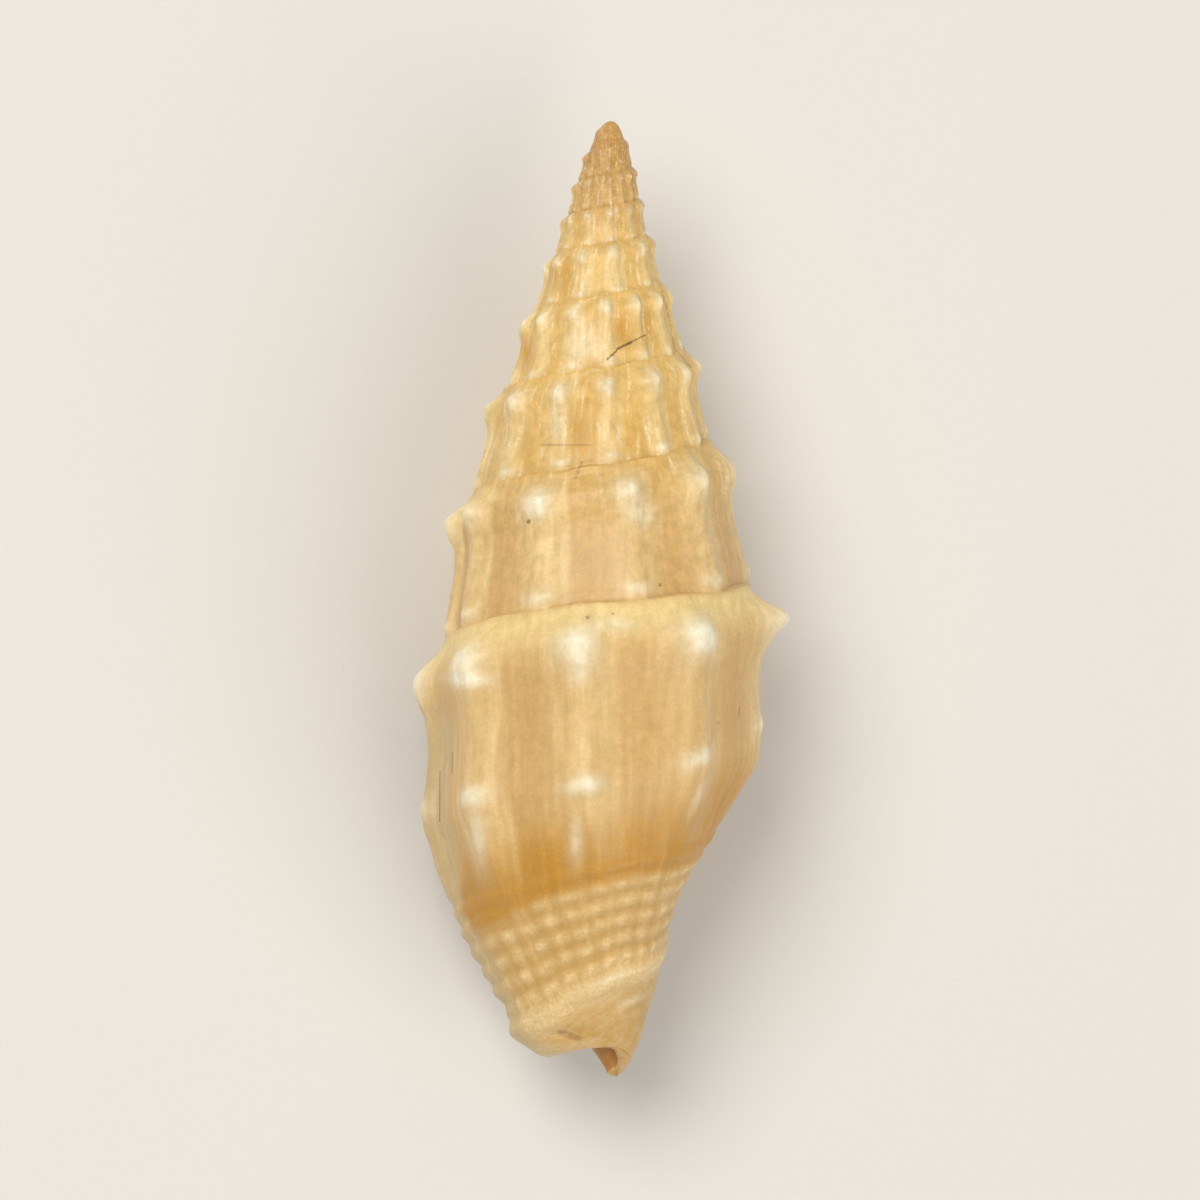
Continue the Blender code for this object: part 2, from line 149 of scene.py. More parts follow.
# Relief that only the fine mesh has, in millimetres, turns and shares of a whorl's height. Bends are
# how often a wandering curve turns: in one turn of the shell, or over one height where they run down.
SUTURE_WAVE = 0.03        # the suture climbs and falls over the ribs above it
WAVE_CHANGE, WAVE_BENDS = 0.8, 23
WAVE_START = (-5.0, -2.0)               # turns over which the wave grows
WAVE_STOP = (LIP_TURN, 0.1)
SUTURE_FILL, FILL_WIDTH = 0.10, 0.045   # softens the corner between two whorls
FILL_STOP = (LIP_TURN - 1, LIP_TURN - 0.97)     # from here on no whorl lies below
GROWTH_RELIEF = 0.009
GROWTH_BENDS, FINER_BENDS, FINER_GROWTH = 130, 290, 0.6
GROWTH_SWAY, SWAY_BENDS = 2, 6
GROWTH_TURNS = (-7.0, -2.5)             # turns over which the growth lines and the fill grow
GROWTH_START = (0.0, 0.1)
GROWTH_RADII = (0.5, 2.0)               # fades out towards the lower end
FOOT_RELIEF = 0.016       # of the lines that run along the fasciole and below it
FOOT_START = (-0.08, 0.02)              # shares of the height, from the fasciole's middle
FOOT_BENDS, FOOT_SWAY, FOOT_SWAY_BENDS = 18, 2, 11
NOTCH_AT, NOTCH_WIDTH = -0.12, 0.04     # turns of the groove above the notch's rim
NOTCH_SPREAD = 2.5                      # how much wider the rim is than the groove
NOTCH_GROOVE, GROOVE_UP = 0.17, 0.42
GROOVE_BELOW, GROOVE_ABOVE = 0.08, 0.13
GROOVE_CORE = 0.8                       # share of the groove's depth that is in its narrow middle
NOTCH_RIM, RIM_UP, RIM_WIDTH = 0.03, 0.08, 0.14
NOTCH_RADII = (0.5, 1.0)
RIB_CHANGE = 0.25         # how much one rib's height differs from the next
KNOB_LINE = (             # turn, share of the whorl's height where the second row of knobs runs
    (-1.0, 0.92), (-0.6, 0.80), (-0.49, 0.74), (-0.35, 0.835), (-0.232, 0.90), (-0.115, 0.85),
    (0.0, 0.816),
)
BEAD_CHANGE = 0.3         # how uneven the beads are in place and size
BEAD_PLACE_BENDS, BEAD_SIZE_BENDS, BEAD_SIZE_CORDS = 17, 41, 1.7
LIP_RADIUS = 4.4          # of the last whorl at the lip
LIP_ROUND = 0.10          # radius of the lip's edges, less towards the canal
LIP_FADE = 0.4            # distance from the lip's two ends over which its rounding grows
ROUND_TURN = LIP_ROUND / (2 * math.pi * LIP_RADIUS)
END_ROUND = 0.06
END_SHARP = 0.15          # share of that rounding that is left where the last whorl begins
END_SHARP_TURNS = (-0.5, -0.3)
END_LIP_FADE, END_LIP_TURN = 0.95, 0.02         # how much is lost at the lip, and from how far back
END_RINGS = (0.9, 0.75, 0.6)            # radii of the lower end's level rim, as shares of its outside

# Steps of the fine mesh.
ROWS_PER_TURN = 300
SIDE_COUNTS = ((-9.0, 10), (-4.0, 20), (-3.0, 30), (-2.0, 44), (-0.96, 54))   # from this turn on
SIDE_CROWDING = 0.06      # how much closer together the steps are near a suture
BASE_COUNT = 62
DOME_STEPS = (0.75, 0.5, 0.3, 0.15, 0.05)
HOLLOW_ROWS, HOLLOW_STEPS = 80, 60
LEAST_HEIGHT = 0.1        # of a whorl, close to the tip
SHARP_ANGLE = math.radians(50)

SEED = 11
CHANCES = 512


def smooth(x, table, column=1):
    """Read a table with a monotone cubic, held level past its ends."""
    xs = np.array([row[0] for row in table], float)
    ys = np.array([row[column] for row in table], float)
    step = np.diff(xs)
    slope = np.diff(ys) / step
    tangent = np.concatenate([slope[:1], np.zeros(len(slope) - 1), slope[-1:]])
    before, after = slope[:-1], slope[1:]
    level = before * after <= 0
    tangent[1:-1] = np.where(level, 0, 2 * before * after / np.where(level, 1, before + after))
    x = np.clip(x, xs[0], xs[-1])
    i = np.clip(np.searchsorted(xs, x, side="right") - 1, 0, len(step) - 1)
    f = (x - xs[i]) / step[i]
    rise = f * f * (3 - 2 * f)
    start, stop = f * (1 - f) ** 2, f * f * (f - 1)
    return ys[i] * (1 - rise) + ys[i + 1] * rise + step[i] * (start * tangent[i] + stop * tangent[i + 1])


def ease(x, low, high):
    """0 below low, 1 above high, with a smooth rise between them."""
    f = np.clip((x - low) / (high - low), 0, 1)
    return f * f * (3 - 2 * f)


def bump(x, centre, before, after=None):
    """A rounded bump of height 1, which may fall away differently on its two sides."""
    width = np.where(x < centre, before, before if after is None else after)
    return np.exp(-((x - centre) / width) ** 2)


def chance(number, seed):
    """A fixed random value from -1 to 1 for each whole number."""
    values = np.random.default_rng(SEED + seed).uniform(-1, 1, CHANCES)
    return values[np.asarray(number).astype(int) % CHANCES]


def wander(x, seed):
    """A smooth random curve from -1 to 1 with one bend per unit of x."""
    low = np.floor(x)
    f = x - low
    f = f * f * (3 - 2 * f)
    return chance(low, seed) * (1 - f) + chance(low + 1, seed) * f


def rib_number(turn, share=SHOULDER_AT):
    return smooth(turn + RIB_SLANT * (share - SHOULDER_AT), RIBS)


def suture_depth(turn):
    """Depth of the suture, which is lifted a little between the ribs of the whorl above it."""
    wave = np.cos(2 * math.pi * rib_number(turn - 1, 1.0)) + WAVE_CHANGE * wander(turn * WAVE_BENDS, 1)
    wave = wave * ease(turn, *WAVE_START) * (1 - ease(turn, *WAVE_STOP))
    return smooth(turn, SUTURE) + SUTURE_WAVE * wave


def whorl_height(turn):
    return np.maximum(suture_depth(turn + 1) - suture_depth(turn), LEAST_HEIGHT)


def base_radius(turn, share):
    """Radius of the base at a share of its depth, blended between the five turns of the table."""
    steps = np.linspace(0, 1, len(BASE_RADII[0]))
    radius = 0
    for at, radii in zip(BASE_TURNS, BASE_RADII):
        weight = 1 - ease(np.abs(turn - at), 0, BASE_TURNS[1] - BASE_TURNS[0])
        if at == BASE_TURNS[-1]:
            weight = np.where(turn > at, 1, weight)
        if at == BASE_TURNS[0]:
            weight = np.where(turn < at, 1, weight)
        radius = radius + weight * smooth(share, list(zip(steps, radii)))
    return radius


def plain_radius(turn, depth):
    """Radius of the outside over its ribs' crests, without nodules and cords."""
    top, foot = suture_depth(turn), suture_depth(turn + 1)
    height = foot - top
    share = (depth - top) / height
    side = (smooth(turn, SUTURE, 2) * (1 - share) + smooth(turn + 1, SUTURE, 2) * share
            + height * smooth(share, SIDE_BULGE))
    below = np.clip((depth - foot) / (smooth(turn, LOWER_END) - foot), 0, 1)
    return np.where(share <= 1, side, base_radius(turn, below))


def rib_phase(turn, share):
    """How far a place is from the nearest rib, in distances between ribs, and the rib's number."""
    number = rib_number(turn, share)
    nearest = np.round(number)
    return number - nearest, nearest


def rib_relief(turn, share):
    """Interspaces, nodules and knobs, as a share of the whorl's height."""
    phase, nearest = rib_phase(turn, share)
    ridge = bump(phase, 0.0, RIB_STEEP, RIB_GENTLE)
    peak = bump(phase, 0.0, PEAK_STEEP, PEAK_GENTLE)
    last = ease(turn, *LAST_WHORL)
    height = RIB_DEPTH * (ridge - 1) * ease(share, 0.0, RIB_START) * (1 - ease(share, *RIB_FADE))
    nodule = (SPIRE_NODULE + (LAST_NODULE - SPIRE_NODULE) * last) * (1 + RIB_CHANGE * chance(nearest, 2))
    height += nodule * ridge * bump(share, SHOULDER_AT, SHOULDER_ABOVE, SHOULDER_BELOW)
    knob = (SPIRE_KNOB + (LAST_KNOB - SPIRE_KNOB) * last) * (1 + RIB_CHANGE * chance(nearest, 3))
    height += knob * peak * bump(share, smooth(turn, KNOB_LINE), KNOB_WIDTH)
    spike = SPIKE_HEIGHT * (nearest == SPIKE_RIB)
    height += spike * peak * bump(share, SPIKE_AT, SPIKE_ABOVE, SPIKE_BELOW)
    return height * ease(turn, *FIRST_RIBS)


def cord_wave(share):
    return np.cos(2 * math.pi * share / CORD_SPACING)


def bead_wave(turn, share):
    """1 on the beads of the cords and 0 between them, unevenly spaced and sized."""
    cord = share / CORD_SPACING
    place_change = BEAD_CHANGE * (wander(cord, 12) + wander(turn * BEAD_PLACE_BENDS + cord, 5))
    size = 1 - BEAD_CHANGE + BEAD_CHANGE * wander(turn * BEAD_SIZE_BENDS + BEAD_SIZE_CORDS * cord, 13)
    return size * (0.5 + 0.5 * np.cos(2 * math.pi * (BEADS_PER_TURN * turn + place_change)))


def cord_relief(turn, share):
    """Beaded cords of the base and the stronger one around the canal, in millimetres."""
    beads = BEAD_LOW + BEAD_RISE * bead_wave(turn, share)
    cords = CORD_HEIGHT * cord_wave(share) * beads * ease(share, *CORD_START)
    cords = cords * (1 - ease(share, *CORD_STOP))
    cords += FASCIOLE_HEIGHT * bump(share, FASCIOLE_AT, FASCIOLE_WIDTH)
    return cords * ease(turn, *CORD_TURNS)


def below_fasciole(turn, share):
    """1 on the canal below its strong cord, 0 above it."""
    start, full = FOOT_START
    return ease(share, FASCIOLE_AT + start, FASCIOLE_AT + full) * ease(turn, *CORD_TURNS)


def growth_relief(turn, share):
    """Fine uneven growth lines along the ribs, and the soft fill of each suture, in millimetres."""
    lines = (wander(turn * GROWTH_BENDS + GROWTH_SWAY * wander(share * SWAY_BENDS, 6), 7)
             + FINER_GROWTH * wander(turn * FINER_BENDS, 8))
    foot = below_fasciole(turn, share)
    around = wander(share * FOOT_BENDS + FOOT_SWAY * wander(turn * FOOT_SWAY_BENDS, 14), 15)
    fill = bump(share, 0.0, FILL_WIDTH) + bump(share, 1.0, FILL_WIDTH) * (1 - ease(turn, *FILL_STOP))
    relief = GROWTH_RELIEF * lines * (1 - foot) + FOOT_RELIEF * around * foot
    return ease(turn, *GROWTH_TURNS) * (relief * ease(share, *GROWTH_START) + SUTURE_FILL * fill)


def notch_rim(turn, depth):
    """1 on the middle of the notch's curled rim, 0 away from it."""
    up = smooth(turn, LOWER_END) - depth
    return bump(up, RIM_UP, RIM_WIDTH) * bump(turn, NOTCH_AT, NOTCH_SPREAD * NOTCH_WIDTH)


def notch_relief(turn, depth):
    """The curled rim of the notch at the lower end, and the groove above it, in millimetres."""
    up = smooth(turn, LOWER_END) - depth
    along = (GROOVE_CORE * bump(turn, NOTCH_AT, NOTCH_WIDTH)
             + (1 - GROOVE_CORE) * bump(turn, NOTCH_AT, NOTCH_SPREAD * NOTCH_WIDTH))
    groove = bump(up, GROOVE_UP, GROOVE_BELOW, GROOVE_ABOVE) * along
    return NOTCH_RIM * notch_rim(turn, depth) - NOTCH_GROOVE * groove


def axis_at(depth):
    bend = np.clip(depth - CANAL_BEND_FROM, 0, None) / (SHELL_LENGTH - CANAL_BEND_FROM)
    return AXIS_LEAN * np.exp(-depth / AXIS_LEAN_FADE) + CANAL_BEND * bend ** CANAL_BEND_POWER


def place(turn, depth, radius):
    """Point of the standing shell."""
    angle = math.pi * (0.5 + 2 * turn)
    return np.stack([axis_at(depth) - radius * np.sin(angle), -depth, radius * np.cos(angle)], axis=-1)


def outside_point(turn, depth, inset=0.0):
    top, height = suture_depth(turn), whorl_height(turn)
    share = (depth - top) / height
    radius = plain_radius(turn, depth)
    relief = height * rib_relief(turn, share) + cord_relief(turn, share)
    relief += growth_relief(turn, share) * ease(radius, *GROWTH_RADII)
    relief += notch_relief(turn, depth) * ease(radius, *NOTCH_RADII)
    return place(turn, depth, radius + relief - inset)


def side_count(turn):
    return [count for start, count in SIDE_COUNTS if turn >= start - 1e-6][-1]


def side_shares(count):
    """Shares of the whorl's height down its side, closer together near both sutures."""
    even = np.linspace(0, 1, count + 1)
    return even - SIDE_CROWDING * np.sin(2 * math.pi * even)


def between(left, right, left_at=None, right_at=None):
    """Faces between two rows of vertices; unlike rows are joined in the order of their places."""
    if len(left) == len(right):
        return [(left[i], left[i + 1], right[i + 1], right[i]) for i in range(len(left) - 1)]
    faces, i, j = [], 0, 0
    while i < len(left) - 1 or j < len(right) - 1:
        if j == len(right) - 1 or (i < len(left) - 1 and left_at[i + 1] <= right_at[j + 1]):
            faces.append((left[i], left[i + 1], right[j]))
            i += 1
        else:
            faces.append((left[i], right[j + 1], right[j]))
            j += 1
    return faces


def whole(faces):
    """Faces without the vertices that two joined rows share, and none that this leaves as a line."""
    once = [tuple(dict.fromkeys(face)) for face in faces]
    return [face for face in once if len(face) > 2]


class Points:
    """Vertices gathered piece by piece."""

    def __init__(self):
        self.parts = []
        self.count = 0

    def add(self, points):
        points = np.asarray(points, float).reshape(-1, 3)
        self.parts.append(points)
        self.count += len(points)
        return list(range(self.count - len(points), self.count))

    def add_rows(self, grid):
        return np.array(self.add(grid)).reshape(len(grid), -1).tolist()

    def all(self):
        return np.concatenate(self.parts)


def rounding(radius):
    """Steps over a rounded edge: how far in, and how far on."""
    return [(radius * (1 - math.cos(angle)), radius * math.sin(angle))
            for angle in (math.pi / 6, math.pi / 3, math.pi / 2)]


def outside():
    """Points and faces of the closed outside, with a flat face across the mouth."""
    points = Points()
    faces = []
    row_count = int(round((LIP_TURN - FIRST_TURN) * ROWS_PER_TURN)) + 1
    turns = LIP_TURN - np.arange(row_count) / ROWS_PER_TURN

    # Each row's upper end is the lower end of the row one whorl earlier.
    counts = np.array([side_count(turn) for turn in turns])
    sides, shares = [], []
    for count in dict.fromkeys(counts):
        group, share = turns[counts == count][:, None], side_shares(count)
        grid = outside_point(group, suture_depth(group) + whorl_height(group) * share[1:])
        sides += points.add_rows(grid)
        shares += [share] * len(group)
    first = turns[-ROWS_PER_TURN:]
    first_edge = points.add(outside_point(first, suture_depth(first)))
    upper = [side[-1] for side in sides[ROWS_PER_TURN:]] + first_edge
    rows = [[top] + side for top, side in zip(upper, sides)]
    for i in range(row_count - 1):
        faces += between(rows[i], rows[i + 1], shares[i], shares[i + 1])

    # The base, from the last whorl's side down to the rounded lower end.
    even = np.linspace(0, 1, BASE_COUNT + 1)[1:]
    last = turns[:ROWS_PER_TURN + 1]
    end_depth = smooth(last, LOWER_END) - END_ROUND
    foot = suture_depth(last + 1)
    grid = outside_point(last[:, None], foot[:, None] + (end_depth - foot)[:, None] * even)
    bases = [[row[-1]] + base for row, base in zip(rows, points.add_rows(grid))]
    for i in range(ROWS_PER_TURN):
        faces += between(bases[i], bases[i + 1])

    # The lip's edge, rounded over, and the flat face across the mouth.
    lip = rows[0] + bases[0][1:]
    depth = -points.all()[lip][:, 1]
    taper = np.clip(np.minimum(depth - depth[0], depth[-1] - depth) / LIP_FADE, 0, 1)[1:-1]
    depth = depth[1:-1]
    taper *= 1 - CANAL_THINNING * ease(depth, *CANAL_DEPTHS)
    for inset, forward in rounding(1.0):
        turn = LIP_TURN + forward * taper * ROUND_TURN
        edge = [lip[0]] + points.add(outside_point(turn, depth, inset * taper * LIP_ROUND)) + [lip[-1]]
        faces += whole(between(edge, lip))
        lip = edge
    inner_depth, outer_depth = (-points.all()[line][:, 1] for line in (bases[-1], lip))
    faces += whole(between(bases[-1], lip, inner_depth, outer_depth))

    # The lower end, rounded over and closed to a point at the foot of the columella.
    ring = [base[-1] for base in bases]
    fine = END_SHARP + (1 - END_SHARP) * ease(last, *END_SHARP_TURNS)
    fine = fine * (1 - END_LIP_FADE * ease(last, LIP_TURN - END_LIP_TURN, LIP_TURN))
    for inset, forward in rounding(END_ROUND):
        inner = outside_point(last, end_depth + forward * fine, inset * fine)[1:-1]
        inner = [ring[0]] + points.add(inner) + [ring[-1]]
        faces += whole(between(inner, ring))
        ring = inner
    rim_start, rim_end, rim_gone = END_LEVEL
    behind = LIP_TURN - last
    level = ease(behind, 0.0, rim_start) * (1 - ease(behind, rim_end, rim_gone))
    bottom = -points.all()[ring][:, 1]
    for share in END_RINGS:
        depth = bottom + (SHELL_LENGTH - bottom) * (1 - share) * (1 - level)
        inner = points.add(place(last, depth, share * plain_radius(last, end_depth)))
        faces += between(inner + inner[:1], ring + ring[:1])
        ring = inner
    foot = points.add(place(0.0, np.float64(SHELL_LENGTH), 0.0))[0]
    faces += [(foot, ring[i], ring[i - 1]) for i in range(len(ring))]

    # The dome of the tip, on the first whorl's upper edge, and the small step where the strip starts.
    edge = first_edge[::-1] + [rows[-1][-1]]
    edge_turns = np.concatenate([first[::-1], turns[-ROWS_PER_TURN - 1:-ROWS_PER_TURN]])
    edge_points = points.all()[edge]
    depths = -edge_points[:, 1]
    fit = np.linalg.norm(edge_points - place(edge_turns, depths, 0.0), axis=1) / smooth(depths, DOME)
    dome = [edge]
    for step in DOME_STEPS:
        dome.append(points.add(place(edge_turns, depths * step, smooth(depths * step, DOME) * fit)))
        faces += between(dome[-1], dome[-2])
    tip = points.add(place(FIRST_TURN, np.float64(0), 0.0))[0]
    faces += [(tip, dome[-1][i + 1], dome[-1][i]) for i in range(len(edge) - 1)]
    faces.append(tuple([ring[-1] for ring in dome[1:]] + [tip] + [ring[0] for ring in dome[:0:-1]]
                       + rows[-1]))
    return points.all(), faces


def columella_radius(turn, depth):
    """Radius of the mouth's inner wall, with its folds."""
    top = smooth(turn, SUTURE)
    share = np.clip((depth - top) / (smooth(turn, COLUMELLA_FOOT) - top), 0, 1)
    table = list(zip(np.linspace(0, 1, len(COLUMELLA)), COLUMELLA))
    folds = sum(height * bump(depth - FOLD_CLIMB * turn, at, FOLD_WIDTH) for at, height in FOLDS)
    wall = smooth(turn, SUTURE, 2) * smooth(share, table)
    return wall + folds + CALLUS * (1 - ease(share, CALLUS_END, 1))


def hollow():
    """Points and faces of the winding tube that hollows the mouth."""
    edge = LIP_TURN + ROUND_TURN * np.sin(np.radians([90, 60, 30]))
    within = np.linspace(LIP_TURN, HOLLOW_END, HOLLOW_ROWS)
    turn = np.concatenate([[HOLLOW_MOUTH], edge, within])[:, None]
    share = 0.5 - 0.5 * np.cos(np.linspace(0, math.pi, HOLLOW_STEPS))
    top = smooth(turn, SUTURE) + HOLLOW_TOP
    depth = top + (smooth(turn, HOLLOW_FOOT) - top) * share
    thickness = LIP_THICKNESS + (WALL_THICKNESS - LIP_THICKNESS) * ease(LIP_TURN - turn, 0.0, LIP_TAPER)
    past = np.clip((turn - LIP_TURN) / ROUND_TURN, 0, 1)
    thickness = thickness - LIP_ROUND * (1 - np.sqrt(1 - past ** 2))
    outer = plain_radius(turn, depth) - thickness * (1 - CANAL_THINNING * ease(depth, *CANAL_DEPTHS))
    inner = columella_radius(turn, depth)
    rounded = 1 - HOLLOW_ROUNDING * (2 * share - 1) ** HOLLOW_SQUARENESS
    width = np.maximum(outer - inner, HOLLOW_LEAST) * rounded
    width = width * (1 - HOLLOW_NARROWING * ease(-turn, *HOLLOW_NARROWS))
    middle = (outer + inner) / 2
    turn = turn + 0 * depth
    loops = np.hstack([place(turn, depth, middle + width / 2),
                       place(turn, depth, middle - width / 2)[:, ::-1]])
    index = np.arange(loops[..., 0].size).reshape(len(turn), -1)
    index = np.hstack([index, index[:, :1]])
    faces = []
    for row, after in zip(index, index[1:]):
        faces += between(row, after)
    faces += [tuple(index[0, :0:-1]), tuple(index[-1, 1:])]
    return loops.reshape(-1, 3), faces


def new_object(name, points, faces, slot):
    """A mesh object of triangles, with all its faces in one material slot."""
    mesh = bpy.data.meshes.new(name)
    mesh.from_pydata(np.asarray(points).tolist(), [], [[int(i) for i in face] for face in faces])
    form = bmesh.new()
    form.from_mesh(mesh)
    bmesh.ops.triangulate(form, faces=form.faces)
    for face in form.faces:
        face.material_index = slot
    form.to_mesh(mesh)
    form.free()
    item = bpy.data.objects.new(name, mesh)
    bpy.context.scene.collection.objects.link(item)
    return item


def hollowed_shell():
    """The standing shell in millimetres: material slot 0 outside, slot 1 in the mouth."""
    shell = new_object("mitre_shell", *outside(), OUTSIDE)
    tube = new_object("mouth_hollow", *hollow(), INSIDE)
    for item in (shell, tube):
        for material in (shell_finish("shell_outside", False), shell_finish("shell_mouth", True)):
            item.data.materials.append(material)
    cut = shell.modifiers.new("mouth", "BOOLEAN")
    cut.object = tube
    cut.operation = "DIFFERENCE"
    cut.solver = "EXACT"
    bpy.context.view_layer.update()
    evaluated = shell.evaluated_get(bpy.context.evaluated_depsgraph_get())
    mesh = bpy.data.meshes.new_from_object(evaluated)
    shell.modifiers.clear()
    shell.data = mesh
    bpy.data.objects.remove(tube, do_unlink=True)
    return shell


def where_on_shell(points):
    """The turn of the last whorl at each point's side, and its depth."""
    depth = -points[:, 1]
    across = points[:, 0] - axis_at(depth)
    turn = (np.degrees(np.arctan2(-across, points[:, 2])) - 90) / 360
    return LIP_TURN - (LIP_TURN - turn) % 1, depth


def mark(mesh):
    """Give each face corner its place on the shell and how much of each marking it has."""
    points = np.empty(len(mesh.vertices) * 3)
    mesh.vertices.foreach_get("co", points)
    points = points.reshape(-1, 3)
    corner = np.empty(len(mesh.loops), int)
    mesh.loops.foreach_get("vertex_index", corner)
    sizes = np.empty(len(mesh.polygons), int)
    mesh.polygons.foreach_get("loop_total", sizes)
    face = np.repeat(np.arange(len(sizes)), sizes)
    centres = np.stack([np.bincount(face, points[corner, i]) for i in range(3)], axis=1) / sizes[:, None]

    # A face's whorl is found at its centre, so that its corners on a suture belong to that whorl.
    turn, depth = where_on_shell(centres)
    whorl = sum((depth < suture_depth(turn - back)).astype(int) for back in range(WHORLS))
    corner_turn, corner_depth = where_on_shell(points[corner])
    nearest = np.round(turn[face] - corner_turn)
    turn = corner_turn + nearest - whorl[face]
    share = (corner_depth - suture_depth(turn)) / whorl_height(turn)

    phase, nearest = rib_phase(turn, share)
    ribbed = ease(turn, *FIRST_RIBS)
    last = ease(turn, *LAST_MARKS)
    edge = ease(turn - STRIP_DIP * bump(share, *STRIP_DIP_AT), *LIP_STRIP)
    rib = ribbed * ease(phase, *RIB_TONE_RIGHT) * (1 - ease(phase, *RIB_TONE_LEFT))
    rib = rib * (1 - RIB_TONE_CHANGE + RIB_TONE_CHANGE * chance(nearest, 21))
    peak = bump(phase, 0.0, PEAK_STEEP, PEAK_GENTLE)
    second = SECOND_CROWN * bump(share, smooth(turn, KNOB_LINE), SECOND_CROWN_WIDTH)
    crown = peak * (bump(share, *CROWN) + second)
    crown *= SPIRE_CROWN + (1 - SPIRE_CROWN) * ease(turn, *LAST_WHORL)
    rim = RIM_CHALK * last * notch_rim(turn, corner_depth)
    lower = BAND_DROP * ease(turn, *BAND_DROP_TURNS)
    higher = BAND_CLIMB * ease(-turn, *BAND_CLIMB_BACK)
    band = ease(share + higher, *BAND_FROM) * (1 - ease(share - lower, *BAND_TO))
    band = band * (1 - BAND_CHANGE + BAND_CHANGE * wander(turn * BAND_BENDS, 9))
    band = band * (1 - EDGE_OVER_BAND * edge)
    band = band * (1 - RIB_OVER_BAND * rib * (1 - ease(share, *RIB_OVER_BAND_STOP)))
    cords = ease(share, *CORD_TONE_START) * (0.5 + 0.5 * cord_wave(share))
    cords = cords * (1 - ease(share, *CORD_STOP)) * (GAP_TONE + (1 - GAP_TONE) * bead_wave(turn, share))
    rib = rib * (1 - RIB_TONE_LOSS * ease(share, *RIB_TONE_STOP)) * ease(share, *RIB_TONE_START)
    masks = {
        "turn": turn,
        "share": share,
        "rib": rib,
        # the nodules' own white with painted highlight on it, the notch rim, and pale spots that are
        # partly painted highlights
        "nodule": ribbed * np.clip(crown + rim + blotches(points[corner], PALE_SPOTS_AND_HIGHLIGHTS), 0, 1),
        "band": last * band,
        "cord": last * np.clip(cords + bump(share, *FASCIOLE_TONE), 0, 1),
        "base": last * ease(share - lower, *BAND_TO),
        "foot": below_fasciole(turn, share),
        "edge": edge * ease(share, *STRIP_START),
        "stain": np.clip(blotches(points[corner], STAINS), 0, 1),
        "ramp": bump(share, *RAMP_REACH) * ease(turn, *RAMP_TURNS),
    }
    for name, values in masks.items():
        layer = mesh.attributes.new(name, "FLOAT", "CORNER")
        layer.data.foreach_set("value", np.ascontiguousarray(values, np.float32))
    layer = mesh.attributes.new("standing", "FLOAT_VECTOR", "POINT")
    layer.data.foreach_set("vector", np.ascontiguousarray(points.ravel(), np.float32))


def blotches(points, table):
    """Soft ovals on the back of the shell, by their strength, centre, size and tilt."""
    total = 0
    for strength, x, y, width, height, tilt in table:
        cos, sin = math.cos(math.radians(tilt)), math.sin(math.radians(tilt))
        across, along = points[:, 0] - x, points[:, 1] - y
        reach = ((across * cos + along * sin) / width) ** 2
        reach = reach + ((along * cos - across * sin) / height) ** 2
        total = total + strength * np.exp(-2 * reach)
    return total * ease(points[:, 2], *BACK)


# Markings: pairs are where one starts and where it is full, in turns or shares of the height.
OUTSIDE, INSIDE = 0, 1
WHORLS = 9
LAST_MARKS = (LIP_TURN - 1.02, LIP_TURN - 1)    # the last whorl
BACK = (0.0, 0.4)                    # millimetres from the axis towards the viewer
LIP_STRIP = (-0.085, -0.05)          # from this turn on the shell is paler and greyer
STRIP_START = (0.25, 0.5)
STRIP_DIP, STRIP_DIP_AT = 0.03, (1.32, 0.12)    # narrower where the band meets it
RIB_TONE_RIGHT, RIB_TONE_LEFT = (-0.34, -0.24), (0.05, 0.5)     # a rib's sharp and soft edge
RIB_TONE_CHANGE = 0.25               # how much one rib's tone differs from the next
RIB_TONE_START, RIB_TONE_STOP, RIB_TONE_LOSS = (0.0, 0.12), (1.25, 1.4), 0.6
CROWN = (0.19, 0.065, 0.11)          # centre and reach of a nodule's white: its own whitish tip, partly a painted highlight
# the knobs of the second row get the same white, partly a painted highlight
SECOND_CROWN, SECOND_CROWN_WIDTH = 0.8, 0.045
SPIRE_CROWN = 0.7                    # strength of that white on the spire, against the last whorl
RIM_CHALK = 0.2
BAND_FROM = (0.95, 1.24)
BAND_TO = (1.37, 1.44)
BAND_DROP, BAND_DROP_TURNS = 0.05, (-0.2, -0.1)     # how much lower the band lies near the lip
BAND_CLIMB, BAND_CLIMB_BACK = 0.15, (0.29, 0.4)     # how much higher it starts on the right
BAND_CHANGE, BAND_BENDS = 0.1, 31
EDGE_OVER_BAND = 0.9                 # how much the strip at the lip hides the band
RIB_OVER_BAND, RIB_OVER_BAND_STOP = 0.35, (1.2, 1.34)
CORD_TONE_START = (CORD_START[1], 1.42)
GAP_TONE = 0.25                      # paleness of a cord between two beads
FASCIOLE_TONE = (FASCIOLE_AT + 0.01, 0.07)
RAMP_REACH, RAMP_TURNS = (0.05, 0.05, 0.15), (-1.2, -0.9)

